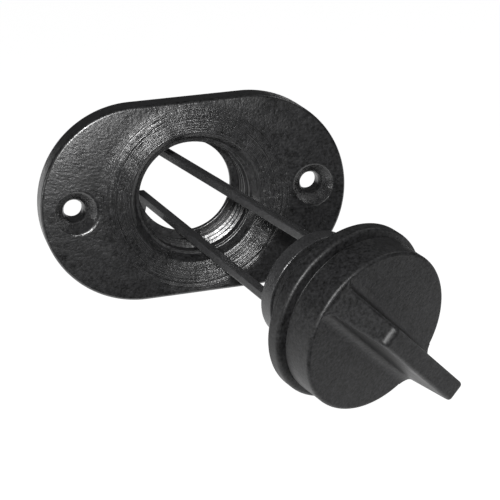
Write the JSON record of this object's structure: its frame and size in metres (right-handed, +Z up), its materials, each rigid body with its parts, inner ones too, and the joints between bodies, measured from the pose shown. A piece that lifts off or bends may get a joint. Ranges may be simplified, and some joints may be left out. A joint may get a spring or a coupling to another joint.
{
  "type": "captive boat drain plug",
  "caption": "Oblong screw-on drain socket with a threaded bore, and a finned screw plug drawn out of it on its tether.",
  "frame": {"origin": "middle of the drain bore at the plate's back face, halfway between the two screw holes", "axes": "+X along the plate from one screw hole to the other, +Y through the plate into the hull, +Z up across the plate; the plug stands out towards -Y"},
  "size_m": [0.0812, 0.1058, 0.061],
  "materials": {
    "socket_plastic": "satin moulded black",
    "plug_plastic": "fine matt moulded black",
    "seal_rubber": "smooth black rubber",
    "tether_plastic": "satin moulded black"
  },
  "bodies": {
    "socket": {"socket": "socket_plastic"},
    "tether": {"tether": "tether_plastic"},
    "plug": {"plug": "plug_plastic", "sealing_ring": "seal_rubber"}
  },
  "joints": [
    {"name": "plug_draw", "type": "slide", "parent": "socket", "child": "tether", "axis": [-0.3603, 0.9048, 0.2269], "range_m": [-0.004, 0.028]},
    {"name": "plug_turn", "type": "hinge", "parent": "tether", "child": "plug", "pos_m": [0.01596, -0.04299, -0.01229], "axis": [0.3603, -0.9048, -0.2269], "continuous": true}
  ]
}
